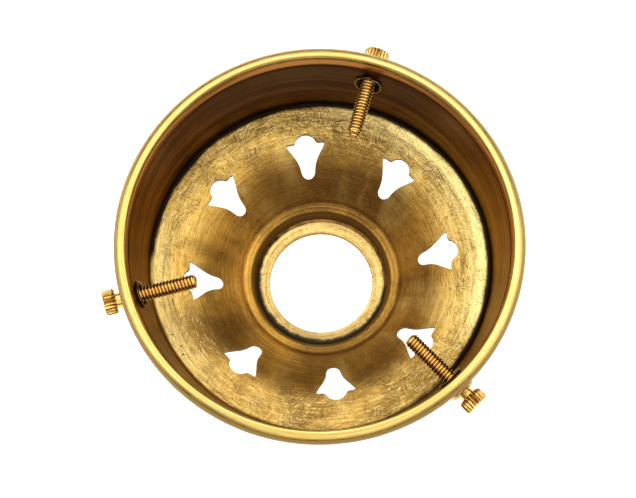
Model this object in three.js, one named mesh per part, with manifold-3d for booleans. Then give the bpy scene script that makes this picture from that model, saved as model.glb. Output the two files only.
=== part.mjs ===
// Brass shade gallery: the fitter that carries a four inch glass lampshade on a lampholder.
// One spun brass body, three riveted screw bushes and three knurled thumbscrews.
// Millimetres. The neck's flat end face is z = 0 and the mouth opens towards +Z.

import * as THREE from "three";
import { mergeVertices } from "three/addons/utils/BufferGeometryUtils.js";
import Module from "manifold-3d";

// Spun body
const SHEET = 1.0;               // thickness of the spun sheet
const HOLE_RADIUS = 14.6;        // hole that drops over the lampholder
const NECK_RING_RADIUS = 17.6;   // outer edge of the flat ring around that hole
const NECK_TOP_RADIUS = 19.4;    // inside of the neck where it meets the ridge
const NECK_TOP_Z = 4.8;
const RIDGE_CREST_RADIUS = 20.5; // thin raised ridge around the neck
const RIDGE_CREST_Z = 5.9;
const FLOOR_Z = 20.6;            // inside height of the nearly flat outer floor
const FLOOR_RADIUS = 45.75;      // where the floor starts to turn up into the wall
const CORNER_RADIUS = 1.5;       // inside radius between floor and wall
const WALL_LEAN_DEG = 12;        // the wall leans outwards by this much
const WALL_TOP_RADIUS = 51.5;    // inside radius of the wall under the rim
const WALL_TOP_Z = 42.4;
const RIM_RADIUS = 54.8;         // outside of the rolled rim
const RIM_CREST_RADIUS = 52.2;   // highest line of the rolled rim, close to its inner edge
const RIM_TOP_Z = 45.2;          // overall height
const RIM_FOOT_Z = 40.9;         // underside of the rolled rim
const TRUMPET = [                // inside line from the ridge up to the flat floor: [radius, height]
  [22.2, 6.1],
  [24.6, 9.2],
  [27.9, 12.7],
  [32.5, 16.8],
  [37.2, 19.6],
  [41.6, 20.6],
];
const TURN_STEPS = 64;           // facets around the body

// Tulip shaped openings in the floor
const OPENING_COUNT = 8;
const OPENING_START_DEG = 22.5;
const OPENING_TIP_RADIUS = 27.5; // nearest point to the axis
const OPENING_BARB_RADIUS = 35.7;
const OPENING_APEX_RADIUS = 38.3;
const OPENING_BARB_HALF = 5.4;   // half width at the two sharp barbs
const OPENING_LOBE_HALF = 3.2;   // half width of the round outer lobe
const OPENING_TIP_HALF = 1.95;   // half width of the rounded inner end
const OPENING_FLANK = [          // hollow side from the inner end to the barb: [radius, half width]
  [29.6, 1.98],
  [31.0, 2.4],
  [32.3, 3.1],
  [34.0, 4.35],
];

// Screws and bushes
const SCREW_ANGLES_DEG = [90, 210, 330];
const SCREW_Z = 34.0;            // height of the screw axes
const GAP = 0.3;                 // clearance between neighbouring pieces
const SHANK_RADIUS = 1.95;       // over the thread crests
const SHANK_TIP_X = 34.0;        // distance from the body axis to the rounded tip
const SHANK_END_X = 57.6;        // outer end of the stud, inside the head
const STUD_RADIUS = 1.2;         // reduced end that carries the head
const STUD_START_X = 56.0;
const HEAD_INNER_X = 56.3;       // shoulder face of the knurled head
const HEAD_OUTER_X = 59.9;
const HEAD_RADIUS = 3.4;
const HEAD_FLUTE_DEPTH = 0.32;
const HEAD_FLUTES = 20;
const HEAD_CHAMFER = 0.45;
const BUSH_SEAT_X = 51.85;       // inner face of the bush collar, against the wall
const BUSH_FACE_X = 54.6;        // outer face of the bush collar
const BUSH_RADIUS = 3.6;
const BUSH_SPIGOT_RADIUS = 2.95; // barrel that passes through the wall
const BUSH_LIP_RADIUS = 3.95;    // peened lip inside the wall
const BUSH_LIP_X = 49.0;          // middle of that lip, which lies along the leaning wall
const BUSH_LIP_THICKNESS = 0.6;

const wasm = await Module();
wasm.setup();

function material(name, color, roughness) {
  const brass = new THREE.MeshStandardMaterial({ color, roughness, metalness: 1.0 });
  brass.name = name;
  return brass;
}

const SPUN_BRASS = material("aged_spun_brass", 0xb08a45, 0.42);
const BUSH_BRASS = material("dull_brass", 0x9a7a3e, 0.5);
const SCREW_BRASS = material("bright_brass", 0xc9963f, 0.32);

function toManifold(geometry) {
  const plain = geometry.clone();
  plain.deleteAttribute("normal");
  plain.deleteAttribute("uv");
  const welded = mergeVertices(plain, 1e-4);
  const vertProperties = new Float32Array(welded.attributes.position.array);
  const triVerts = new Uint32Array(welded.index.array);
  return new wasm.Manifold(new wasm.Mesh({ numProp: 3, vertProperties, triVerts }));
}

function toGeometry(solid) {
  const mesh = solid.getMesh();
  const geometry = new THREE.BufferGeometry();
  geometry.setAttribute("position", new THREE.BufferAttribute(new Float32Array(mesh.vertProperties), 3));
  geometry.setIndex(new THREE.BufferAttribute(new Uint32Array(mesh.triVerts), 1));
  return geometry;
}

// A solid turned about +Z from a profile of [radius, height] points, walked anticlockwise.
function turned(profile, steps) {
  const points = profile.map(([radius, height]) => new THREE.Vector2(radius, height));
  const geometry = new THREE.LatheGeometry(points, steps);
  geometry.rotateX(Math.PI / 2);
  return toManifold(geometry);
}

function arc(centreX, centreY, radius, fromDeg, toDeg, steps) {
  const points = [];
  for (let i = 0; i <= steps; i += 1) {
    const angle = THREE.MathUtils.degToRad(fromDeg + ((toDeg - fromDeg) * i) / steps);
    points.push([centreX + radius * Math.cos(angle), centreY + radius * Math.sin(angle)]);
  }
  return points;
}

// A smooth line through the given points, returned as steps + 1 points.
function smooth(points, steps) {
  const curve = new THREE.SplineCurve(points.map(([along, up]) => new THREE.Vector2(along, up)));
  return curve.getPoints(steps).map((point) => [point.x, point.y]);
}

// Inside surface of the body from the neck hole out to the underside of the rim.
function insideLine() {
  const floor = smooth([...TRUMPET, [FLOOR_RADIUS, FLOOR_Z]], 9);
  const corner = arc(FLOOR_RADIUS, FLOOR_Z + CORNER_RADIUS, CORNER_RADIUS, -66, -WALL_LEAN_DEG, 3);
  return [
    [HOLE_RADIUS, SHEET],
    [NECK_RING_RADIUS, SHEET],
    [18.3, 1.5],
    [NECK_TOP_RADIUS, NECK_TOP_Z],
    [19.9, 5.6],
    [RIDGE_CREST_RADIUS, RIDGE_CREST_Z],
    [21.2, 5.75],
    ...floor,
    ...corner,
    [WALL_TOP_RADIUS, WALL_TOP_Z],
  ];
}

// The same line moved outwards by the sheet thickness.
function offsetLine(line, distance) {
  const moved = [];
  for (let i = 0; i < line.length; i += 1) {
    const before = line[Math.max(i - 1, 0)];
    const after = line[Math.min(i + 1, line.length - 1)];
    const length = Math.hypot(after[0] - before[0], after[1] - before[1]);
    const stepX = (after[0] - before[0]) / length;
    const stepY = (after[1] - before[1]) / length;
    moved.push([line[i][0] + stepY * distance, line[i][1] - stepX * distance]);
  }
  return moved;
}

function bodyProfile() {
  const inside = insideLine();
  const outside = offsetLine(inside, SHEET).filter((point) => point[1] > 0.4 && point[1] < RIM_FOOT_Z);
  const outerRoll = RIM_RADIUS - RIM_CREST_RADIUS;
  const innerRoll = RIM_CREST_RADIUS - WALL_TOP_RADIUS;
  const rollOutside = arc(RIM_CREST_RADIUS, RIM_TOP_Z - outerRoll, outerRoll, 0, 90, 5);
  const rollInside = arc(RIM_CREST_RADIUS, RIM_TOP_Z - innerRoll, innerRoll, 120, 180, 2);
  const rollFoot = arc(RIM_RADIUS - 1.2, RIM_FOOT_Z + 1.2, 1.2, -90, 0, 2);
  return [
    [HOLE_RADIUS, 0],
    [NECK_RING_RADIUS, 0],
    [18.7, 0.35],
    ...outside,
    [WALL_TOP_RADIUS + SHEET - 0.1, RIM_FOOT_Z],
    ...rollFoot,
    ...rollOutside,
    ...rollInside,
    ...inside.slice().reverse(),
    [HOLE_RADIUS, 0],
  ];
}

// Half of the tulip, drawn as [distance from the body axis, half width].
function openingHalf() {
  const tip = arc(OPENING_TIP_RADIUS + OPENING_TIP_HALF, 0, OPENING_TIP_HALF, 180, 100, 5);
  const flank = smooth([...OPENING_FLANK, [OPENING_BARB_RADIUS, OPENING_BARB_HALF]], 6);
  const shoulder = [[35.95, 4.2], [36.1, OPENING_LOBE_HALF + 0.2]];
  const lobe = arc(OPENING_APEX_RADIUS - OPENING_LOBE_HALF, 0, OPENING_LOBE_HALF, 70, 0, 6);
  return [...tip, ...flank, ...shoulder, ...lobe];
}

function openingCutter(angleDeg) {
  const half = openingHalf();
  const mirrored = half.slice(1, -1).reverse().map(([along, side]) => [along, -side]);
  const outline = [...half, ...mirrored].map(([along, side]) => new THREE.Vector2(along, side));
  const geometry = new THREE.ExtrudeGeometry(new THREE.Shape(outline), {
    depth: 30,
    bevelEnabled: false,
    steps: 1,
  });
  geometry.rotateZ(THREE.MathUtils.degToRad(angleDeg));
  return toManifold(geometry);
}

// Turns a solid drawn about +Z so that it lies along one screw axis, pointing outwards.
function alongScrew(solid, angleDeg) {
  return solid.rotate([0, 90, 0]).rotate([0, 0, angleDeg]).translate([0, 0, SCREW_Z]);
}

function bushHole(angleDeg) {
  const radius = BUSH_SPIGOT_RADIUS + GAP;
  const geometry = new THREE.CylinderGeometry(radius, radius, 8, 24);
  geometry.rotateX(Math.PI / 2);
  geometry.translate(0, 0, 51);
  return alongScrew(toManifold(geometry), angleDeg);
}

function galleryBody() {
  let body = turned(bodyProfile(), TURN_STEPS);
  for (let i = 0; i < OPENING_COUNT; i += 1) {
    const cutter = openingCutter(OPENING_START_DEG + (360 / OPENING_COUNT) * i);
    body = body.subtract(cutter);
  }
  for (const angleDeg of SCREW_ANGLES_DEG) {
    body = body.subtract(bushHole(angleDeg));
  }
  return body;
}

function bush(angleDeg) {
  const barrel = turned([
    [0, BUSH_LIP_X],
    [BUSH_SPIGOT_RADIUS, BUSH_LIP_X],
    [BUSH_SPIGOT_RADIUS, BUSH_SEAT_X],
    [BUSH_RADIUS, BUSH_SEAT_X],
    [BUSH_RADIUS, BUSH_FACE_X - 0.25],
    [BUSH_RADIUS - 0.25, BUSH_FACE_X],
    [0, BUSH_FACE_X],
    [0, BUSH_LIP_X],
  ], 24);
  const lip = turned([
    [0, -BUSH_LIP_THICKNESS / 2],
    [BUSH_LIP_RADIUS, -BUSH_LIP_THICKNESS / 2],
    [BUSH_LIP_RADIUS, BUSH_LIP_THICKNESS / 2],
    [0, BUSH_LIP_THICKNESS / 2],
    [0, -BUSH_LIP_THICKNESS / 2],
  ], 24).rotate([0, WALL_LEAN_DEG, 0]).translate([0, 0, BUSH_LIP_X]);
  const bore = turned([
    [0, BUSH_LIP_X - 3],
    [SHANK_RADIUS + GAP, BUSH_LIP_X - 3],
    [SHANK_RADIUS + GAP, BUSH_FACE_X + 1],
    [0, BUSH_FACE_X + 1],
    [0, BUSH_LIP_X - 3],
  ], 24);
  return alongScrew(barrel.add(lip).subtract(bore), angleDeg);
}

function shank(angleDeg) {
  const profile = [
    [0, SHANK_TIP_X],
    [0.8, SHANK_TIP_X + 0.12],
    [1.5, SHANK_TIP_X + 0.6],
    [SHANK_RADIUS, SHANK_TIP_X + 1.3],
    [SHANK_RADIUS, STUD_START_X],
    [STUD_RADIUS, STUD_START_X],
    [STUD_RADIUS, SHANK_END_X],
    [0, SHANK_END_X],
  ];
  return alongScrew(turned(profile, 24), angleDeg);
}

function flutedDisc() {
  const outline = [];
  const steps = HEAD_FLUTES * 4;
  for (let i = 0; i < steps; i += 1) {
    const angle = (2 * Math.PI * i) / steps;
    const wave = 0.5 + 0.5 * Math.cos(angle * HEAD_FLUTES);
    const radius = HEAD_RADIUS - HEAD_FLUTE_DEPTH * (1 - wave);
    outline.push(new THREE.Vector2(radius * Math.cos(angle), radius * Math.sin(angle)));
  }
  const length = HEAD_OUTER_X - HEAD_INNER_X;
  const geometry = new THREE.ExtrudeGeometry(new THREE.Shape(outline), {
    depth: length,
    bevelEnabled: false,
    steps: 1,
  });
  geometry.translate(0, 0, HEAD_INNER_X);
  return toManifold(geometry);
}

function head(angleDeg) {
  const socket = STUD_RADIUS + GAP;
  const envelope = [
    [socket, HEAD_INNER_X],
    [HEAD_RADIUS - HEAD_CHAMFER, HEAD_INNER_X],
    [HEAD_RADIUS + 0.05, HEAD_INNER_X + HEAD_CHAMFER],
    [HEAD_RADIUS + 0.05, HEAD_OUTER_X - HEAD_CHAMFER],
    [HEAD_RADIUS - HEAD_CHAMFER, HEAD_OUTER_X - 0.15],
    [1.6, HEAD_OUTER_X],
    [0, HEAD_OUTER_X],
    [0, SHANK_END_X + GAP],
    [socket, SHANK_END_X + GAP],
    [socket, HEAD_INNER_X],
  ];
  const knob = turned(envelope, 32).intersect(flutedDisc());
  return alongScrew(knob, angleDeg);
}

function named(name, solid, brass) {
  const mesh = new THREE.Mesh(toGeometry(solid), brass);
  mesh.name = name;
  return mesh;
}

const gallery = new THREE.Group();
gallery.name = "shade_gallery";
gallery.add(named("gallery_body", galleryBody(), SPUN_BRASS));
SCREW_ANGLES_DEG.forEach((angleDeg, index) => {
  const number = index + 1;
  gallery.add(named(`screw_bush_${number}`, bush(angleDeg), BUSH_BRASS));
  gallery.add(named(`thumbscrew_${number}_shank`, shank(angleDeg), SCREW_BRASS));
  gallery.add(named(`thumbscrew_${number}_head`, head(angleDeg), SCREW_BRASS));
});

export default gallery;
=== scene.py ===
"""Brass lampshade gallery: spun body, three riveted bushes and three knurled thumbscrews.

Everything is in metres, in the CAD frame: +Z runs from the neck up to the open mouth.
"""

import math
import random

import bmesh
import bpy
from mathutils import Matrix, Vector


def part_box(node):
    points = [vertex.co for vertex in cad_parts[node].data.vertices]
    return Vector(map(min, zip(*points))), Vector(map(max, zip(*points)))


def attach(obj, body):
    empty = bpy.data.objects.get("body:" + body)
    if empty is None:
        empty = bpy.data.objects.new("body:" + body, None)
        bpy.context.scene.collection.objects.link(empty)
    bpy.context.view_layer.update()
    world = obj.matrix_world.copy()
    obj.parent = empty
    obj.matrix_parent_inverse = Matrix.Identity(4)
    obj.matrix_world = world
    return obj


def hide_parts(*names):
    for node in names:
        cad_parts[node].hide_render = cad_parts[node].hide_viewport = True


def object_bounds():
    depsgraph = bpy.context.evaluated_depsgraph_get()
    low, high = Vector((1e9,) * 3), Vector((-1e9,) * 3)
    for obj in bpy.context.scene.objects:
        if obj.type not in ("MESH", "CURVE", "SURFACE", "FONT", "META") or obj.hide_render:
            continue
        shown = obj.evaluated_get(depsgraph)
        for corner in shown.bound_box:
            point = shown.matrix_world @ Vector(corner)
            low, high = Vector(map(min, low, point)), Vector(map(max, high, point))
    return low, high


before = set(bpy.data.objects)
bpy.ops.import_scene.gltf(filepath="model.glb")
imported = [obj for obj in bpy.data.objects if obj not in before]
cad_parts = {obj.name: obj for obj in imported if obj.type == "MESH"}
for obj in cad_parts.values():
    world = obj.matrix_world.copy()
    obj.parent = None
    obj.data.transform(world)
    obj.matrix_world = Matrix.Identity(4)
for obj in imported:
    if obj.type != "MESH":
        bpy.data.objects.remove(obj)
cad_low, cad_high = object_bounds()

MM = 0.001

# ---------------------------------------------------------------- where things are
body_low, body_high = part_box("gallery_body")
RIM_TOP = body_high.z / MM
RIM_RADIUS = body_high.x / MM
SCREWS = (1, 2, 3)


def screw_axis(number):
    """Angle about +Z and height in mm of one thumbscrew's axis, from its head."""
    low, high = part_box(f"thumbscrew_{number}_head")
    middle = (low + high) / 2
    return math.atan2(middle.y, middle.x), middle.z / MM


# ---------------------------------------------------------------- mesh helpers
def new_object(name, mesh):
    obj = bpy.data.objects.new(name, mesh)
    bpy.context.scene.collection.objects.link(obj)
    return obj


def catmull(points, steps):
    """Smooth line through the points, with the given number of steps between two."""
    line = []
    for i in range(len(points) - 1):
        p0 = points[max(i - 1, 0)]
        p1, p2 = points[i], points[i + 1]
        p3 = points[min(i + 2, len(points) - 1)]
        for k in range(steps):
            t = k / steps
            line.append(tuple(
                0.5 * (2 * b + (c - a) * t + (2 * a - 5 * b + 4 * c - d) * t * t
                       + (3 * b - a - 3 * c + d) * t ** 3)
                for a, b, c, d in zip(p0, p1, p2, p3)))
    line.append(points[-1])
    return line


def arc(cx, cy, radius, start, end, steps):
    """Points on an arc, angles in degrees."""
    angles = [math.radians(start + (end - start) * i / steps) for i in range(steps + 1)]
    return [(cx + radius * math.cos(a), cy + radius * math.sin(a)) for a in angles]


def offset(line, distance):
    """The line moved to its right-hand side by a distance."""
    moved = []
    for i, (x, y) in enumerate(line):
        x0, y0 = line[max(i - 1, 0)]
        x1, y1 = line[min(i + 1, len(line) - 1)]
        length = math.hypot(x1 - x0, y1 - y0)
        moved.append((x + (y1 - y0) / length * distance, y - (x1 - x0) / length * distance))
    return moved


def quad(lower, upper, k):
    """Corners of the face between two rings after vertex k, without repeats where a ring is one pole."""
    corners = [lower[k % len(lower)], lower[(k + 1) % len(lower)],
               upper[(k + 1) % len(upper)], upper[k % len(upper)]]
    return list(dict.fromkeys(corners))


def revolve(name, profile, segments, closed=True):
    """A surface turned about Z from (radius, height) points in mm. Points on the axis become poles."""
    bm = bmesh.new()
    rings = []
    for radius, height in profile:
        if radius < 1e-6:
            rings.append([bm.verts.new((0, 0, height * MM))])
            continue
        ring = []
        reach = radius * MM
        for k in range(segments):
            a = 2 * math.pi * k / segments
            ring.append(bm.verts.new((reach * math.cos(a), reach * math.sin(a), height * MM)))
        rings.append(ring)
    pairs = list(zip(rings, rings[1:]))
    if closed:
        pairs.append((rings[-1], rings[0]))
    for lower, upper in pairs:
        for k in range(segments):
            corners = quad(lower, upper, k)
            if len(corners) > 2:
                bm.faces.new(corners)
    bmesh.ops.recalc_face_normals(bm, faces=bm.faces)
    mesh = bpy.data.meshes.new(name)
    bm.to_mesh(mesh)
    bm.free()
    return mesh


def along_screw(obj, number):
    """Turns a piece drawn along +Z so that it lies on a screw's axis, pointing outwards."""
    angle, height = screw_axis(number)
    lift = Matrix.Translation((0, 0, height * MM))
    obj.data.transform(lift @ Matrix.Rotation(angle, 4, "Z") @ Matrix.Rotation(math.pi / 2, 4, "Y"))
    return obj


def smooth_by_angle(mesh, degrees):
    """Smooth shading with creases wherever two faces meet at more than the angle."""
    mesh.shade_smooth()
    mesh.set_sharp_from_angle(angle=math.radians(degrees))


def write_groove(mesh, values):
    """Stores how deep in a groove or throat each vertex lies, from 0 to 1."""
    attribute = mesh.attributes.new("groove", "FLOAT", "POINT")
    attribute.data.foreach_set("value", values)


def apply_modifiers(obj):
    depsgraph = bpy.context.evaluated_depsgraph_get()
    mesh = bpy.data.meshes.new_from_object(obj.evaluated_get(depsgraph))
    obj.modifiers.clear()
    obj.data = mesh


# ---------------------------------------------------------------- node helpers
class Nodes:
    """Short names for building one material's node tree."""

    def __init__(self, name):
        self.material = bpy.data.materials.new(name)
        self.material.use_nodes = True
        self.tree = self.material.node_tree
        self.shader = self.tree.nodes["Principled BSDF"]
        self.object = self.add("ShaderNodeTexCoord").outputs["Object"]

    def add(self, kind, **settings):
        node = self.tree.nodes.new(kind)
        for key, value in settings.items():
            setattr(node, key, value)
        return node

    def put(self, socket, value):
        if isinstance(value, bpy.types.NodeSocket):
            self.tree.links.new(value, socket)
        else:
            socket.default_value = value

    def math(self, operation, a, b=0.0, c=0.0):
        node = self.add("ShaderNodeMath", operation=operation)
        for socket, value in zip(node.inputs, (a, b, c)):
            self.put(socket, value)
        return node.outputs[0]

    def split(self, vector):
        node = self.add("ShaderNodeSeparateXYZ")
        self.put(node.inputs[0], vector)
        return node.outputs

    def join(self, x, y, z):
        node = self.add("ShaderNodeCombineXYZ")
        for socket, value in zip(node.inputs, (x, y, z)):
            self.put(socket, value)
        return node.outputs[0]

    def noise(self, vector, scale, detail=3.0, roughness=0.55, distortion=0.0):
        node = self.add("ShaderNodeTexNoise")
        self.put(node.inputs["Vector"], vector)
        node.inputs["Scale"].default_value = scale
        node.inputs["Detail"].default_value = detail
        node.inputs["Roughness"].default_value = roughness
        node.inputs["Distortion"].default_value = distortion
        return node.outputs["Fac"]

    def range(self, value, low, high, to_low=0.0, to_high=1.0, smooth=False):
        node = self.add("ShaderNodeMapRange", clamp=True)
        if smooth:
            node.interpolation_type = "SMOOTHSTEP"
        for socket, v in zip(node.inputs, (value, low, high, to_low, to_high)):
            self.put(socket, v)
        return node.outputs[0]

    def mix(self, factor, a, b, blend="MIX"):
        node = self.add("ShaderNodeMix", data_type="RGBA", blend_type=blend)
        self.put(node.inputs["Factor"], factor)
        self.put(node.inputs[6], a)
        self.put(node.inputs[7], b)
        return node.outputs[2]

    def bump(self, height, strength, distance, normal=None):
        node = self.add("ShaderNodeBump")
        node.inputs["Strength"].default_value = strength
        node.inputs["Distance"].default_value = distance
        self.put(node.inputs["Height"], height)
        if normal is not None:
            self.put(node.inputs["Normal"], normal)
        return node.outputs["Normal"]


# Bearings about +Z, in degrees, of the sides that wear, dirt, painted highlight and painted shade favour
SCRATCHED_SIDE = 70.0
HIGHLIGHT_SIDE = 46.0
WEAKER_HIGHLIGHT_SIDE = 212.0
SHADED_BACK_SIDE = 128.0
SHADED_FRONT_SIDE = 262.0
CORNER_SHADE_SIDE = 80.0
SHADE_AXIS_SIDE = 112.0
SECOND_SHADE_SIDE = 33.0
SOOT_SIDE = 274.0


def polar(n):
    """Radius, angle and height sockets in millimetres and radians."""
    x, y, z = n.split(n.object)
    square = n.math("ADD", n.math("MULTIPLY", x, x), n.math("MULTIPLY", y, y))
    radius = n.math("DIVIDE", n.math("SQRT", square), MM)
    return radius, n.math("ARCTAN2", y, x), n.math("DIVIDE", z, MM)


def around(n, angle, degrees):
    """1 on the side of the part at the given bearing, falling to -1 opposite."""
    return n.math("COSINE", n.math("SUBTRACT", angle, math.radians(degrees)))


def hairs(n, seed, cell, width, length):
    """Short scratches whose direction changes from patch to patch, as a 0 to 1 height."""
    shift = n.add("ShaderNodeVectorMath", operation="ADD")
    n.put(shift.inputs[0], n.object)
    shift.inputs[1].default_value = (seed * 0.37, seed * 0.11, seed * 0.23)
    patches = n.add("ShaderNodeTexVoronoi")
    patches.inputs["Scale"].default_value = 1 / (cell * MM)
    n.put(patches.inputs["Vector"], shift.outputs[0])
    turn = n.math("MULTIPLY", n.split(patches.outputs["Color"])[0], math.pi)
    x, y, z = n.split(shift.outputs[0])
    c, s = n.math("COSINE", turn), n.math("SINE", turn)
    along = n.math("SUBTRACT", n.math("MULTIPLY", x, c), n.math("MULTIPLY", y, s))
    across = n.math("ADD", n.math("MULTIPLY", x, s), n.math("MULTIPLY", y, c))
    vector = n.join(
        n.math("DIVIDE", along, length * MM),
        n.math("DIVIDE", across, width * MM),
        n.math("DIVIDE", z, length * MM))
    return n.noise(vector, 1.0, detail=3.0, roughness=0.7)


def arcs(n, seed, width, length):
    """Long fine scratches that run round the axis, as a 0 to 1 height."""
    radius, angle, z = polar(n)
    turns = 40.0 / length
    vector = n.join(
        n.math("ADD", n.math("DIVIDE", radius, width), seed),
        n.math("ADD", n.math("MULTIPLY", n.math("SINE", angle), turns), n.math("DIVIDE", z, width)),
        n.math("MULTIPLY", n.math("COSINE", angle), turns))
    return n.noise(vector, 1.0, detail=2.0, roughness=0.6, distortion=0.6)


def rings_of_turning(n, pitch, seed):
    """Fine lines left by turning, following the circle, as a 0 to 1 height."""
    radius, angle, z = polar(n)
    vector = n.join(
        n.math("DIVIDE", radius, pitch),
        n.math("ADD", n.math("MULTIPLY", n.math("SINE", angle), 0.7), seed),
        n.math("ADD", n.math("DIVIDE", z, pitch), n.math("MULTIPLY", n.math("COSINE", angle), 0.7)))
    return n.noise(vector, 1.0, detail=3.0, roughness=0.65)


def finish_brass(n, color, roughness, normal):
    n.put(n.shader.inputs["Base Color"], color)
    n.shader.inputs["Metallic"].default_value = 1.0
    n.put(n.shader.inputs["Roughness"], roughness)
    n.put(n.shader.inputs["Normal"], normal)
    return n.material


def floor_scratches(n, angle):
    """Crossed wire-brush scratches and swirls, deeper on the scratched side, as a height around 0.5."""
    hair_a = hairs(n, 1.0, 2.6, 0.24, 2.2)
    hair_b = hairs(n, 7.0, 4.6, 0.22, 3.4)
    swirl = arcs(n, 3.0, 0.30, 4.5)
    crossed = n.math("MULTIPLY", n.math("ADD", hair_a, hair_b), 0.34)
    scratch = n.math("ADD", crossed, n.math("MULTIPLY", swirl, 0.32))
    used = n.range(around(n, angle, SCRATCHED_SIDE), -0.9, 0.6, 0.75, 1.25)
    return n.math("ADD", n.math("MULTIPLY", n.math("SUBTRACT", scratch, 0.5), used), 0.5)


def floor_highlight_and_polish(n, radius, angle):
    """Painted highlight on two sides of the outer floor, from 0 to 1; the floor is also polished smoother
    there.
    """
    sides = n.math("ADD", n.range(around(n, angle, HIGHLIGHT_SIDE), 0.35, 0.75, smooth=True),
                   n.range(around(n, angle, WEAKER_HIGHLIGHT_SIDE), 0.75, 0.97, 0.0, 0.5, smooth=True))
    return n.math("MULTIPLY", n.range(radius, 39.5, 43.5), sides)


def floor_patina(n, radius, angle, outer, polish_and_highlight):
    """Gold brass under brown blotches, paler under the painted highlight and darker on two sides under
    painted shade.
    """
    sweep = n.noise(n.object, 30.0, detail=2.0)
    patina = n.noise(n.object, 75.0, detail=5.0, roughness=0.65)
    gold = n.mix(outer, (0.66, 0.355, 0.058, 1), (0.94, 0.58, 0.12, 1))
    brown = n.mix(outer, (0.28, 0.143, 0.025, 1), (0.38, 0.205, 0.040, 1))
    blotch = n.math("ADD", n.math("MULTIPLY", patina, 0.5), n.math("MULTIPLY", sweep, 0.5))
    color = n.mix(n.range(blotch, 0.44, 0.58, 0.0, 0.9), gold, brown)
    # painted highlight: the outer floor turns pale gold on two sides
    color = n.mix(n.math("MULTIPLY", polish_and_highlight, 0.95), color, (1.0, 0.80, 0.31, 1))
    # painted shade: the outer floor darkens towards brown on two sides
    shade_back = n.math("MULTIPLY", n.range(radius, 41.0, 43.5),
                       n.range(around(n, angle, SHADED_BACK_SIDE), 0.5, 0.95, 0.0, 0.55))
    shade_front = n.math("MULTIPLY", outer, n.range(around(n, angle, SHADED_FRONT_SIDE), 0.6, 0.95, 0.0, 0.4))
    return n.mix(n.math("ADD", shade_back, shade_front), color, (0.40, 0.22, 0.055, 1))


def floor_fans(n, radius, angle, color):
    """Dark and bright fans of sheen that run up the trumpet."""
    fan_space = n.join(
        n.math("MULTIPLY", n.math("COSINE", angle), 2.6),
        n.math("MULTIPLY", n.math("SINE", angle), 2.6),
        n.math("DIVIDE", radius, 26.0))
    fans = n.noise(fan_space, 1.0, detail=3.0, roughness=0.5, distortion=0.3)
    spun = n.math("MULTIPLY", n.range(radius, 21.5, 25.0), n.range(radius, 43.5, 39.0))
    dark_fan = n.math("MULTIPLY", n.range(fans, 0.50, 0.63, 0.0, 0.55), spun)
    bright_fan = n.math("MULTIPLY", n.range(fans, 0.47, 0.36, 0.0, 0.5), spun)
    color = n.mix(dark_fan, color, (0.17, 0.075, 0.016, 1))
    return n.mix(bright_fan, color, (1.0, 0.72, 0.22, 1))


def floor_stains(n, outer, cloud, color):
    """Long brown streaks round the axis and a cloudy bloom."""
    streaks = n.range(arcs(n, 9.0, 2.4, 12.0), 0.50, 0.62, 0.0, n.range(outer, 0.0, 1.0, 0.25, 0.55))
    color = n.mix(streaks, color, n.mix(outer, (0.20, 0.10, 0.025, 1), (0.30, 0.15, 0.03, 1)))
    bloom = n.mix(outer, (0.20, 0.12, 0.04, 1), (0.36, 0.25, 0.12, 1))
    return n.mix(n.range(cloud, 0.56, 0.72, 0.0, 0.4), color, bloom)


def floor_lines(n, angle, outer, scratch, polish_and_highlight, color):
    """Dark bottoms and pale ridges of the scratches, and finer hairs over them."""
    dark = n.mix(outer, (0.17, 0.085, 0.020, 1), (0.13, 0.072, 0.020, 1))
    cover = n.math("SUBTRACT", n.range(outer, 0.0, 1.0, 0.5, 0.95), n.math("MULTIPLY", polish_and_highlight, 0.45))
    color = n.mix(n.range(scratch, 0.38, 0.48, cover, 0.0), color, dark)
    pale = n.mix(outer, (0.85, 0.50, 0.12, 1), (1.0, 0.79, 0.29, 1))
    color = n.mix(n.range(scratch, 0.515, 0.575, 0.0, n.range(outer, 0.0, 1.0, 0.3, 0.9)), color, pale)
    fine = hairs(n, 13.0, 4.2, 0.2, 4.0)
    visible = n.math("MULTIPLY", outer, n.range(around(n, angle, SCRATCHED_SIDE), -0.9, 0.3, 0.3, 0.8))
    color = n.mix(n.range(fine, 0.59, 0.63, 0.0, visible), color, (1.0, 0.84, 0.38, 1))
    return n.mix(n.range(fine, 0.41, 0.37, 0.0, visible), color, (0.085, 0.045, 0.012, 1))


def floor_dirt_and_shade(n, radius, angle, cloud, color):
    """Specks, grime and painted shade in the corner under the wall, painted shade on the ledge over the neck
    ring and on the trumpet.
    """
    specks = n.noise(n.object, 800.0, detail=2.0)
    color = n.mix(n.range(specks, 0.70, 0.76), color, (0.06, 0.035, 0.012, 1))
    # painted shade in the corner under the wall, weaker on one side; cloudy grime adds to it below
    corner_shade_amount = n.range(around(n, angle, CORNER_SHADE_SIDE), -0.95, -0.2, 0.1, 0.75)
    crease = n.math("MULTIPLY", n.range(radius, 44.9, 46.4), corner_shade_amount)
    grime_and_shade = n.math("ADD", crease, n.math("MULTIPLY", cloud, 0.6))
    color = n.mix(n.range(grime_and_shade, 0.56, 0.95), color, (0.018, 0.011, 0.006, 1))
    # painted shade on the step between the neck ring and the ridge
    ledge = n.math("MULTIPLY", n.range(radius, 19.9, 19.5), n.range(radius, 17.4, 17.8))
    color = n.mix(n.math("MULTIPLY", ledge, 0.9), color, (0.045, 0.020, 0.006, 1))
    # painted shade on the trumpet, at both ends of one axis and on a third side
    across = around(n, angle, SHADE_AXIS_SIDE)
    ends = n.math("ADD", n.range(across, 0.55, 1.0, 0.0, 0.6), n.range(across, -0.6, -1.0, 0.0, 0.4))
    ends = n.math("ADD", ends, n.range(around(n, angle, SECOND_SHADE_SIDE), 0.6, 0.95, 0.0, 0.35))
    trumpet_shade = n.math("MULTIPLY", ends, n.range(radius, 36.0, 28.0))
    return n.mix(trumpet_shade, color, (0.10, 0.045, 0.012, 1))


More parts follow.
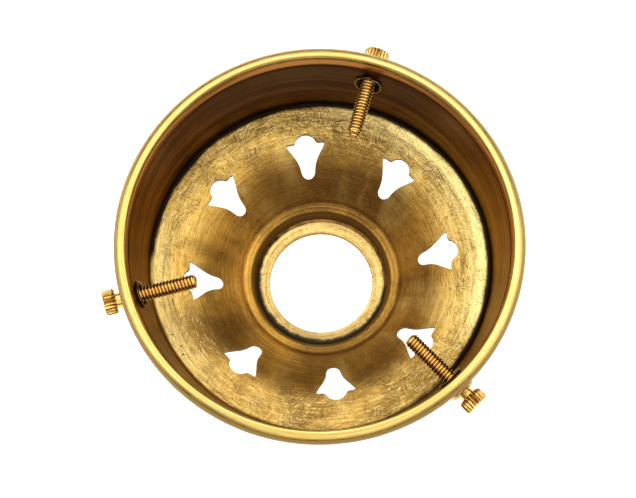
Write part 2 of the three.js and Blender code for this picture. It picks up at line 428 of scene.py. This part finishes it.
def floor_brass():
    """Wire-brushed floor that turns into the smoother, browner trumpet towards the neck."""
    n = Nodes("floor_brass")
    radius, angle, _ = polar(n)
    outer = n.range(radius, 30.0, 43.0, smooth=True)
    scratch = floor_scratches(n, angle)
    polish_and_highlight = floor_highlight_and_polish(n, radius, angle)
    turning = rings_of_turning(n, 0.5, 3.0)
    cloud = n.noise(n.object, 150.0, detail=5.0, roughness=0.65)
    color = floor_patina(n, radius, angle, outer, polish_and_highlight)
    color = floor_fans(n, radius, angle, color)
    color = floor_stains(n, outer, cloud, color)
    color = floor_lines(n, angle, outer, scratch, polish_and_highlight, color)
    turned = n.range(turning, 0.5, 0.72, 0.0, n.range(outer, 0.0, 1.0, 0.6, 0.0))
    color = n.mix(turned, color, (0.20, 0.10, 0.024, 1))
    color = floor_dirt_and_shade(n, radius, angle, cloud, color)
    rough = n.math("SUBTRACT", n.range(scratch, 0.4, 0.6, 0.48, 0.33), n.math("MULTIPLY", polish_and_highlight, 0.12))
    cuts = n.math("MULTIPLY", scratch, n.math("SUBTRACT", 2.4, n.math("MULTIPLY", polish_and_highlight, 1.4)))
    lines = n.math("ADD", n.math("MULTIPLY", turning, 0.6), n.math("MULTIPLY", scratch, 0.7))
    height = n.mix(outer, lines, cuts)
    n.shader.inputs["Specular Tint"].default_value = (0.88, 0.74, 0.54, 1)
    return finish_brass(n, color, rough, n.bump(height, 0.9, 0.0002))


def wall_brass():
    """Smooth turned wall in dark brown, streaked around the circle, with painted shade high on one side and
    at its foot in the corner.
    """
    n = Nodes("wall_brass")
    _, angle, z = polar(n)
    turning = rings_of_turning(n, 0.5, 11.0)
    broad = rings_of_turning(n, 3.0, 5.0)
    spots = n.noise(n.object, 260.0, detail=4.0)
    color = n.mix(n.range(broad, 0.35, 0.65), (0.072, 0.036, 0.018, 1), (0.19, 0.100, 0.046, 1))
    color = n.mix(n.range(turning, 0.45, 0.7, 0.0, 0.5), color, (0.045, 0.021, 0.009, 1))
    color = n.mix(n.range(spots, 0.6, 0.75, 0.0, 0.4), color, (0.035, 0.015, 0.006, 1))
    # painted shade high on the wall on one side
    far_wall_shade = n.range(around(n, angle, SHADE_AXIS_SIDE), 0.6, 1.0, 0.0, 0.6)
    far_wall_shade = n.math("MULTIPLY", far_wall_shade, n.range(z, 27.0, 38.0))
    color = n.mix(far_wall_shade, color, (0.028, 0.013, 0.006, 1))
    # painted shade at the foot of the wall, in the corner with the floor, weaker on one side
    corner_shade_amount = n.range(around(n, angle, CORNER_SHADE_SIDE), -0.95, -0.2, 0.25, 0.95)
    foot = n.math("MULTIPLY", n.range(n.math("ADD", z, n.math("MULTIPLY", spots, 1.6)), 24.2, 22.4), corner_shade_amount)
    color = n.mix(foot, color, (0.012, 0.008, 0.005, 1))
    color = n.mix(n.range(z, 39.9, 40.6), color, (0.36, 0.155, 0.036, 1))
    n.shader.inputs["Specular Tint"].default_value = (0.8, 0.62, 0.45, 1)
    rough = n.range(turning, 0.3, 0.7, 0.24, 0.36)
    return finish_brass(n, color, rough, n.bump(turning, 0.25, 0.00005))


def rim_brass():
    """Polished rolled rim with fine rubbed lines and a few dull spots, and painted shade on the roll's inner
    face and outer side.
    """
    n = Nodes("rim_brass")
    radius, _, z = polar(n)
    turning = rings_of_turning(n, 0.22, 2.0)
    spots = n.noise(n.object, 330.0, detail=4.0)
    patches = n.noise(n.object, 60.0, detail=3.0)
    color = n.mix(n.range(turning, 0.40, 0.62), (0.96, 0.77, 0.27, 1), (0.66, 0.41, 0.09, 1))
    color = n.mix(n.range(spots, 0.60, 0.78, 0.0, 0.5), color, (0.45, 0.30, 0.09, 1))
    color = n.mix(n.range(patches, 0.45, 0.65, 0.0, 0.45), color, (0.72, 0.49, 0.12, 1))
    # painted shade on the roll's inner face under the crest
    inner = n.math("MULTIPLY", n.range(radius, 52.15, 52.0), n.range(z, 44.7, 44.1, 0.0, 0.75))
    color = n.mix(inner, color, (0.22, 0.10, 0.022, 1))
    # painted shade: the roll's outer side turns brown, then near black at its edge, in place of the dark
    # surroundings it reflects
    color = n.mix(n.range(radius, 53.3, 54.2, 0.0, 0.7), color, (0.56, 0.31, 0.05, 1))
    color = n.mix(n.range(radius, 53.9, 54.65, 0.0, 0.9), color, (0.16, 0.085, 0.018, 1))
    rough = n.range(spots, 0.35, 0.75, 0.26, 0.4)
    return finish_brass(n, color, rough, n.bump(turning, 0.35, 0.00006))


def neck_brass():
    """Flat ring around the hole: rubbed bright, with black patina left along its outer edge."""
    n = Nodes("neck_brass")
    radius, angle, _ = polar(n)
    scratch = n.math("ADD", n.math("MULTIPLY", hairs(n, 4.0, 2.6, 0.3, 1.6), 0.5),
                     n.math("MULTIPLY", rings_of_turning(n, 0.4, 6.0), 0.5))
    edge = n.range(radius, 15.6, 18.2)
    side = around(n, angle, SOOT_SIDE)
    patches = n.noise(n.object, 260.0, detail=4.0, roughness=0.7)
    soot = n.math("ADD", edge, n.math("MULTIPLY", side, 0.34))
    soot = n.math("ADD", soot, n.math("MULTIPLY", patches, 0.8))
    dirt = n.range(soot, 0.98, 1.3, 0.0, 0.94)
    color = n.mix(n.range(scratch, 0.38, 0.6), (0.34, 0.19, 0.05, 1), (0.92, 0.66, 0.22, 1))
    color = n.mix(n.range(n.math("ADD", side, patches), 0.7, 1.5, 0.0, 0.55), color, (0.26, 0.17, 0.065, 1))
    color = n.mix(dirt, color, (0.016, 0.015, 0.014, 1))
    rough = n.range(dirt, 0.0, 1.0, 0.36, 0.6)
    return finish_brass(n, color, rough, n.bump(scratch, 0.7, 0.00015))


def outside_brass():
    """Outside of the bowl: even aged brass with turning lines."""
    n = Nodes("outside_brass")
    turning = rings_of_turning(n, 0.5, 8.0)
    broad = rings_of_turning(n, 2.6, 14.0)
    patina = n.noise(n.object, 80.0, detail=6.0, roughness=0.68)
    stain = n.noise(n.object, 300.0, detail=5.0, roughness=0.7)
    scratch = hairs(n, 21.0, 7.0, 0.2, 6.0)
    blotch = n.math("ADD", n.math("MULTIPLY", patina, 0.6), n.math("MULTIPLY", broad, 0.4))
    color = n.mix(n.range(blotch, 0.40, 0.60), (0.62, 0.36, 0.085, 1), (0.34, 0.185, 0.045, 1))
    color = n.mix(n.range(turning, 0.46, 0.68, 0.0, 0.6), color, (0.20, 0.105, 0.028, 1))
    color = n.mix(n.range(stain, 0.58, 0.74, 0.0, 0.6), color, (0.14, 0.075, 0.022, 1))
    color = n.mix(n.range(scratch, 0.60, 0.68, 0.0, 0.5), color, (0.90, 0.62, 0.20, 1))
    rough = n.range(blotch, 0.35, 0.65, 0.26, 0.42)
    return finish_brass(n, color, rough, n.bump(n.math("ADD", turning, scratch), 0.45, 0.00007))


def screw_brass():
    """Warm turned brass of the thumbscrews, with painted shade in the thread roots and flutes."""
    n = Nodes("screw_brass")
    wear = n.noise(n.object, 700.0, detail=3.0)
    groove = n.add("ShaderNodeAttribute", attribute_name="groove").outputs["Fac"]
    color = n.mix(n.range(wear, 0.35, 0.65), (0.98, 0.68, 0.21, 1), (0.80, 0.46, 0.10, 1))
    # painted shade: darker the deeper a vertex lies in the thread or flute
    depth = n.math("ADD", groove, n.math("MULTIPLY", n.math("SUBTRACT", wear, 0.5), 0.4))
    color = n.mix(n.range(depth, 0.2, 0.95), color, (0.27, 0.105, 0.020, 1))
    rough = n.range(wear, 0.3, 0.7, 0.15, 0.25)
    return finish_brass(n, color, rough, n.bump(wear, 0.15, 0.00003))


def bush_brass():
    """Dull rivet brass, dark down its throat."""
    n = Nodes("bush_brass")
    wear = n.noise(n.object, 520.0, detail=4.0)
    groove = n.add("ShaderNodeAttribute", attribute_name="groove").outputs["Fac"]
    color = n.mix(n.range(wear, 0.4, 0.62), (0.44, 0.25, 0.07, 1), (0.72, 0.46, 0.14, 1))
    # painted shade: the bore and the lip's throat are darkened to near black
    color = n.mix(groove, color, (0.030, 0.015, 0.006, 1))
    rough = n.range(wear, 0.3, 0.7, 0.3, 0.48)
    return finish_brass(n, color, rough, n.bump(wear, 0.3, 0.00006))


def cut_brass():
    """Sawn and filed edges of the openings, nearly black."""
    n = Nodes("cut_brass")
    filing = n.noise(n.object, 1400.0, detail=3.0)
    color = n.mix(n.range(filing, 0.35, 0.65), (0.014, 0.008, 0.004, 1), (0.10, 0.055, 0.016, 1))
    rough = n.range(filing, 0.3, 0.7, 0.4, 0.6)
    return finish_brass(n, color, rough, n.bump(filing, 0.4, 0.00008))


# ---------------------------------------------------------------- spun body
SHEET = 1.0
HOLE_RADIUS = 14.6
RIM_CREST = 52.2
ROLL_INNER = 0.65   # radius of the roll's inner edge
ROLL_FOOT = 1.25    # radius where the roll turns back to the wall
WALL_LEAN = math.tan(math.radians(12))
OPENINGS = 8
BUSH_HOLE = 2.98    # radius of the hole that each bush is riveted into
BODY_MATERIALS = (floor_brass, wall_brass, rim_brass, neck_brass, outside_brass, cut_brass)
FLOOR, WALL, RIM, NECK, OUTSIDE, CUT = range(len(BODY_MATERIALS))


def inside_line():
    """Upper surface from the hole, over the ridge and the pierced floor, up the wall."""
    ring = [(HOLE_RADIUS + 0.2, SHEET), (17.0, SHEET), (17.5, SHEET + 0.05)]
    neck = catmull([(17.95, 1.25), (18.35, 2.0), (18.8, 3.3), (19.15, 4.6), (19.45, 5.35), (19.9, 5.8),
                    (20.4, 5.95), (20.9, 5.86), (21.3, 5.82), (21.8, 5.98), (22.3, 6.3)], 3)
    trumpet = catmull([(22.3, 6.3), (24.6, 9.2), (27.9, 12.7), (32.5, 16.8), (37.2, 19.55), (41.2, 20.45),
                       (43.4, 20.5), (45.9, 20.74)], 7)
    corner = arc(45.75, 22.1, 1.5, -62, -12, 5)
    wall = catmull([(47.3, 22.2), (48.75, 29.0), (49.8, 34.0), (50.7, 38.4), (50.95, 39.8)], 4)
    bead_foot = catmull([(51.15, 40.0), (51.25, 40.25), (51.2, 40.6), (51.35, 41.3), (51.5, 41.9)], 3)
    crease = [(51.8, 42.15), (51.9, 42.5)]
    return ring + neck[:-1] + trumpet + corner + wall + bead_foot + crease


def body_mesh():
    inside = inside_line()
    outside = [p for p in offset(inside, SHEET) if 0.5 < p[1] < 40.6]
    roll_radius = RIM_RADIUS - RIM_CREST
    roll = arc(RIM_CREST, RIM_TOP - roll_radius, roll_radius, 0, 88, 18)
    roll += arc(RIM_CREST, RIM_TOP - ROLL_INNER, ROLL_INNER, 100, 185, 7)
    foot = arc(RIM_RADIUS - ROLL_FOOT, 42.1, ROLL_FOOT, -110, 0, 9)
    profile = [(HOLE_RADIUS, 0.8), (HOLE_RADIUS, 0.15), (HOLE_RADIUS + 0.15, 0.0), (17.6, 0.0), (18.5, 0.18)]
    profile += outside + [(52.35, 40.8)] + foot + roll + inside[::-1]
    return revolve("gallery_body_shape", profile, 288)


def tulip():
    """Outline of one opening as (distance from the axis, sideways) in mm."""
    tip = arc(29.45, 0.0, 1.95, 180, 100, 8)
    flank = catmull([(29.6, 1.98), (31.0, 2.4), (32.3, 3.1), (34.0, 4.35), (35.15, 5.15), (35.75, 5.5)], 5)
    shoulder = catmull([(36.0, 4.8), (36.0, 4.1), (36.1, 3.45)], 4)
    lobe = arc(35.15, 0.0, 3.2, 70, 0, 10)
    half = tip + flank + shoulder + lobe
    return half + [(x, -y) for x, y in half[-2:0:-1]]


def tulip_cutter(name, degrees):
    outline = tulip()
    bm = bmesh.new()
    turn = Matrix.Rotation(math.radians(degrees), 3, "Z")
    levels = []
    for height in (5.0, 30.0):
        levels.append([bm.verts.new(turn @ Vector((x * MM, y * MM, height * MM))) for x, y in outline])
    bottom, top = levels
    bm.faces.new(list(reversed(bottom)))
    bm.faces.new(top)
    for k in range(len(outline)):
        n = (k + 1) % len(outline)
        bm.faces.new([bottom[k], bottom[n], top[n], top[k]])
    bmesh.ops.recalc_face_normals(bm, faces=bm.faces)
    mesh = bpy.data.meshes.new(name)
    bm.to_mesh(mesh)
    bm.free()
    return new_object(name, mesh)


def bush_cutter(name, number):
    profile = [(0.0, 44.0), (BUSH_HOLE, 44.0), (BUSH_HOLE, 60.0), (0.0, 60.0)]
    return along_screw(new_object(name, revolve(name, profile, 48, closed=False)), number)


def zone(center, normal):
    """Material slot number for a face of the body, from where it is and which way it faces."""
    radius = math.hypot(center.x, center.y) / MM
    z = center.z / MM
    if 27.0 < radius < 39.0 and abs(normal.z) < 0.25:
        return CUT
    outwards = (normal.x * center.x + normal.y * center.y) / (radius * MM)
    if z > 42.3 or (z > 40.9 and radius > 52.5):
        return RIM
    if radius < 20.0 and z < 2.2 and normal.z > 0.15:
        return NECK
    if outwards > 0.35 and radius > 46.0:
        return OUTSIDE
    if radius > 46.8 and z > 21.3:
        return WALL
    if normal.z < -0.05:
        return OUTSIDE
    return FLOOR


def build_body():
    body = new_object("gallery_shell", body_mesh())
    step = 360 / OPENINGS
    cutters = [tulip_cutter(f"cut_{k}", step * (k + 0.5)) for k in range(OPENINGS)]
    cutters += [bush_cutter(f"cut_bush_{number}", number) for number in SCREWS]
    for cutter in cutters:
        modifier = body.modifiers.new(cutter.name, "BOOLEAN")
        modifier.operation = "DIFFERENCE"
        modifier.solver = "EXACT"
        modifier.object = cutter
    apply_modifiers(body)
    for cutter in cutters:
        bpy.data.objects.remove(cutter)
    for make_material in BODY_MATERIALS:
        body.data.materials.append(make_material())
    for face in body.data.polygons:
        face.material_index = zone(face.center, face.normal)
    smooth_by_angle(body.data, 32)
    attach(body, "gallery")
    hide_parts("gallery_body")


# ---------------------------------------------------------------- bushes and screws
# Radii across each screw's axis, and places along it counted from the axis of the body
BORE_RADIUS = 2.25
SPIGOT_RADIUS = 2.95
COLLAR_RADIUS = 3.6
BORE_START = 50.7
LIP_BASE = 50.3
SHANK_RADIUS = 2.05
THREAD_DEPTH = 0.32
THREAD_PITCH = 0.9
THREAD_END = 54.0
RELIEF_RADIUS = 1.75
RELIEF_END = 54.9
TIP_AT = 34.0
TIP_LENGTH = 1.5
HEAD_AT = 56.3
HEAD_END = 59.9
HEAD_RADIUS = 3.4
FLUTES = 20
FLUTE_DEPTH = 0.42
SCREW_SEGMENTS = FLUTES * 6


def bush_profile():
    """Section of a bush: down its bore, round the flared lip, and back up over the collar."""
    lip = [(0.04, LIP_BASE), (0.25, 49.95), (0.65, 49.6), (1.1, 49.35), (1.5, 49.2), (1.62, 49.3),
           (1.32, 49.5), (1.0, 49.7), (0.78, 49.95)]
    collar = [(COLLAR_RADIUS - 0.1, 51.85), (COLLAR_RADIUS, 52.0), (COLLAR_RADIUS, 54.2),
              (COLLAR_RADIUS - 0.12, 54.45), (COLLAR_RADIUS - 0.35, 54.6)]
    profile = [(BORE_RADIUS, 54.45), (BORE_RADIUS, BORE_START)]
    profile += [(BORE_RADIUS + out, at) for out, at in lip]
    profile += [(SPIGOT_RADIUS, 50.35), (SPIGOT_RADIUS, 51.85)]
    return profile + collar + [(BORE_RADIUS + 0.2, 54.6)]


def throat_marks(mesh):
    """1 for each vertex in the bore or on the lip's throat, 0 elsewhere."""
    marks = []
    for vertex in mesh.vertices:
        x, y, z = vertex.co / MM
        radius = math.hypot(x, y)
        in_lip = radius < BORE_RADIUS + 1.2 and z < BORE_START
        in_bore = radius < BORE_RADIUS + 0.05 and z < 54.0
        marks.append(1.0 if in_lip or in_bore else 0.0)
    return marks


def tear_lip(mesh, rng):
    """Tears and ruffles the flared lip, and lays it along the wall's lean and curve."""
    tears = [(rng.uniform(0, 2 * math.pi), rng.uniform(0.15, 0.35), rng.uniform(0.4, 1.0)) for _ in range(4)]
    waves = [(rng.uniform(0, 2 * math.pi), rng.uniform(0.05, 0.14)) for _ in range(3)]
    for vertex in mesh.vertices:
        x, y, z = vertex.co / MM
        if z > 50.2:
            continue
        radius, angle = math.hypot(x, y), math.atan2(y, x)
        reach = min(1.0, max(0.0, radius - BORE_RADIUS - 0.1) / 1.3)
        cut = 0.0
        for centre, width, depth in tears:
            gap = abs((angle - centre + math.pi) % (2 * math.pi) - math.pi)
            cut = max(cut, depth * max(0.0, 1 - gap / width))
        wave = sum(size * math.cos((k + 2) * angle + start) for k, (start, size) in enumerate(waves))
        scale = 1 - reach * (0.24 * cut + 0.3 * abs(wave))
        vertex.co.x *= scale
        vertex.co.y *= scale
        follow = min(1.0, LIP_BASE - z)
        vertex.co.z += (0.3 * wave * reach - 0.1 * cut * reach - follow * (WALL_LEAN * x + y * y / 100)) * MM


def build_bush(number, material):
    """Collar outside the wall, and a spigot flared and torn into a thin ragged lip inside it."""
    mesh = revolve(f"screw_bush_{number}_shape", bush_profile(), 96)
    marks = throat_marks(mesh)
    tear_lip(mesh, random.Random(40 + number))
    write_groove(mesh, marks)
    bush = new_object(f"screw_bush_{number}_piece", mesh)
    along_screw(bush, number)
    bush.data.materials.append(material)
    smooth_by_angle(bush.data, 40)
    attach(bush, "gallery")
    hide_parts(f"screw_bush_{number}")


def thread_height(turns):
    """Height of a slightly rounded thread over one pitch, from 0 in the root to 1 on the crest."""
    t = abs(((turns + 0.5) % 1.0) - 0.5) * 2
    fall = min(1.0, max(0.0, (t - 0.12) / 0.85))
    return 1 - fall * fall * (3 - 2 * fall)


def shank_radius(x, turns):
    """Radius at a distance x along the shank: rounded tip, thread, relief under the head."""
    if x > RELIEF_END:
        return SHANK_RADIUS
    radius = SHANK_RADIUS - THREAD_DEPTH * (1 - thread_height(turns))
    from_tip = x - TIP_AT
    if from_tip < TIP_LENGTH:
        dome = SHANK_RADIUS * math.sqrt(max(0.0, 1 - (1 - from_tip / TIP_LENGTH) ** 2.2)) * 0.98
        radius = min(radius, max(dome, 0.05))
    run_out = min(1.0, max(0.0, (x - THREAD_END) / 0.8))
    return radius + (RELIEF_RADIUS - radius) * run_out


def screw_ring(bm, x, radii):
    """A ring of vertices round the screw's axis, all at the same place along it."""
    ring = []
    for k, radius in enumerate(radii):
        a = 2 * math.pi * k / SCREW_SEGMENTS
        ring.append(bm.verts.new((radius * math.cos(a) * MM, radius * math.sin(a) * MM, x * MM)))
    return ring


def shank_rings(bm, grooves):
    """Rings of the threaded shank. How deep each vertex lies in the thread goes into grooves."""
    steps = int((HEAD_AT - TIP_AT) / (THREAD_PITCH / 10))
    rings = []
    for i in range(1, steps + 1):
        x = TIP_AT + (HEAD_AT - TIP_AT) * i / steps
        radii = [shank_radius(x, x / THREAD_PITCH - k / SCREW_SEGMENTS) for k in range(SCREW_SEGMENTS)]
        for radius in radii:
            from_crest = (SHANK_RADIUS - radius) / THREAD_DEPTH
            threaded = TIP_AT + 1.3 < x < THREAD_END + 0.2
            grooves.append(from_crest if threaded else 0.3 * min(1.0, from_crest))
        rings.append(screw_ring(bm, x, radii))
    return rings


def head_rings(bm, grooves):
    """Rings of the fluted head, each with a radius, a place along the axis and a share of the flutes."""
    head = [(2.75, HEAD_AT, 0.0), (2.95, HEAD_AT + 0.05, 0.4), (3.25, HEAD_AT + 0.22, 1.0),
            (HEAD_RADIUS, HEAD_AT + 0.42, 1.0), (HEAD_RADIUS, HEAD_END - 0.75, 1.0),
            (HEAD_RADIUS - 0.08, HEAD_END - 0.5, 1.0), (HEAD_RADIUS - 0.32, HEAD_END - 0.26, 0.7),
            (2.7, HEAD_END - 0.12, 0.2), (2.1, HEAD_END - 0.05, 0.0), (1.0, HEAD_END, 0.0)]
    rings = []
    for radius, x, share in head:
        radii = []
        for k in range(SCREW_SEGMENTS):
            a = 2 * math.pi * k / SCREW_SEGMENTS
            flute = share * (0.5 - 0.5 * math.cos(FLUTES * a)) ** 0.8
            radii.append(radius - FLUTE_DEPTH * flute)
            grooves.append(flute)
        rings.append(screw_ring(bm, x, radii))
    return rings


def build_screw(number, material):
    """One thumbscrew: helical thread, relief and fluted head, as one closed turned piece."""
    bm = bmesh.new()
    rings = [[bm.verts.new((0, 0, TIP_AT * MM))]]
    grooves = [0.0]
    rings += shank_rings(bm, grooves)
    rings += head_rings(bm, grooves)
    rings.append([bm.verts.new((0, 0, HEAD_END * MM))])
    grooves.append(0.0)
    for lower, upper in zip(rings, rings[1:]):
        for k in range(SCREW_SEGMENTS):
            bm.faces.new(quad(lower, upper, k))
    bmesh.ops.recalc_face_normals(bm, faces=bm.faces)
    mesh = bpy.data.meshes.new(f"thumbscrew_{number}_shape")
    bm.to_mesh(mesh)
    bm.free()
    write_groove(mesh, grooves)
    screw = new_object(f"thumbscrew_{number}", mesh)
    own_turn = number * 0.9
    mesh.transform(Matrix.Rotation(own_turn, 4, "Z"))
    along_screw(screw, number)
    screw.data.materials.append(material)
    smooth_by_angle(screw.data, 50)
    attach(screw, f"thumbscrew_{number}_knob")
    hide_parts(f"thumbscrew_{number}_shank", f"thumbscrew_{number}_head")


# ---------------------------------------------------------------- studio
STAGE_BELOW = 0.0002
STAGE_HALF = 3.0
AIM = Vector((0, 0, 0.03))
LIGHTS = (  # name, bearing, elevation, distance in m, size in m, power in W
    ("key", 108.0, 66.0, 0.9, 1.25, 7.2),
    ("left", 190.0, 42.0, 1.0, 1.0, 4.0),
    ("right", 12.0, 42.0, 1.0, 1.0, 4.0),
    ("near", -72.0, 48.0, 1.0, 0.9, 3.0),
)


def build_floor():
    """Pale floor that glows a little under the part, so that the openings read white."""
    bm = bmesh.new()
    side = STAGE_HALF
    for x, y in ((-side, -side), (side, -side), (side, side), (-side, side)):
        bm.verts.new((x, y, cad_low.z - STAGE_BELOW))
    bm.faces.new(bm.verts)
    mesh = bpy.data.meshes.new("studio_floor")
    bm.to_mesh(mesh)
    bm.free()
    floor = new_object("studio_floor", mesh)
    n = Nodes("pale_floor")
    n.shader.inputs["Base Color"].default_value = (0.93, 0.93, 0.93, 1)
    n.shader.inputs["Roughness"].default_value = 0.9
    n.shader.inputs["Emission Color"].default_value = (1.0, 1.0, 1.0, 1)
    radius = polar(n)[0]
    n.put(n.shader.inputs["Emission Strength"], n.range(radius, 55.0, 150.0, 0.85, 0.15, smooth=True))
    mesh.materials.append(n.material)


def soft_light(name, azimuth, elevation, distance, size, power):
    """A square area light aimed at the part, its direction counted as the camera's is."""
    light = bpy.data.lights.new(name, "AREA")
    light.size = size
    light.energy = power
    obj = bpy.data.objects.new(name, light)
    bpy.context.scene.collection.objects.link(obj)
    place(obj, AIM, azimuth, elevation, distance, 0.0)


def place(obj, target, azimuth, elevation, distance, roll):
    """Puts an object on a sphere around the target, its -Z axis towards it."""
    a, e = math.radians(azimuth), math.radians(elevation)
    away = Vector((math.cos(e) * math.cos(a), math.cos(e) * math.sin(a), math.sin(e)))
    turn = (-away).to_track_quat("-Z", "Y").to_matrix().to_4x4()
    obj.matrix_world = (
        Matrix.Translation(target + away * distance) @ turn @ Matrix.Rotation(math.radians(-roll), 4, "Z"))


def build_studio():
    build_floor()
    world = bpy.data.worlds.new("studio")
    world.use_nodes = True
    tree = world.node_tree
    background = tree.nodes["Background"]
    background.inputs["Color"].default_value = (0.93, 0.96, 1.0, 1)
    background.inputs["Strength"].default_value = 0.2
    bpy.context.scene.world = world
    for light in LIGHTS:
        soft_light(*light)


CAMERA_LENS = 113.2
CAMERA_AIM = Vector((0.0004, -0.00275, 0.0446))
CAMERA_BEARING, CAMERA_ELEVATION = -71.938, 73.658
CAMERA_DISTANCE = 0.52877
CAMERA_ROLL = 2.459


def build_camera():
    camera = bpy.data.cameras.new("camera")
    camera.lens = CAMERA_LENS
    camera.sensor_width = 36.0
    camera.clip_start = 0.01
    obj = bpy.data.objects.new("camera", camera)
    bpy.context.scene.collection.objects.link(obj)
    place(obj, CAMERA_AIM, CAMERA_BEARING, CAMERA_ELEVATION, CAMERA_DISTANCE, CAMERA_ROLL)
    bpy.context.scene.camera = obj


# ---------------------------------------------------------------- build
build_body()
turned_brass, rivet_brass = screw_brass(), bush_brass()
for screw_number in SCREWS:
    build_bush(screw_number, rivet_brass)
    build_screw(screw_number, turned_brass)
build_studio()
build_camera()
bpy.context.scene.view_settings.view_transform = "Standard"

bpy.context.view_layer.update()
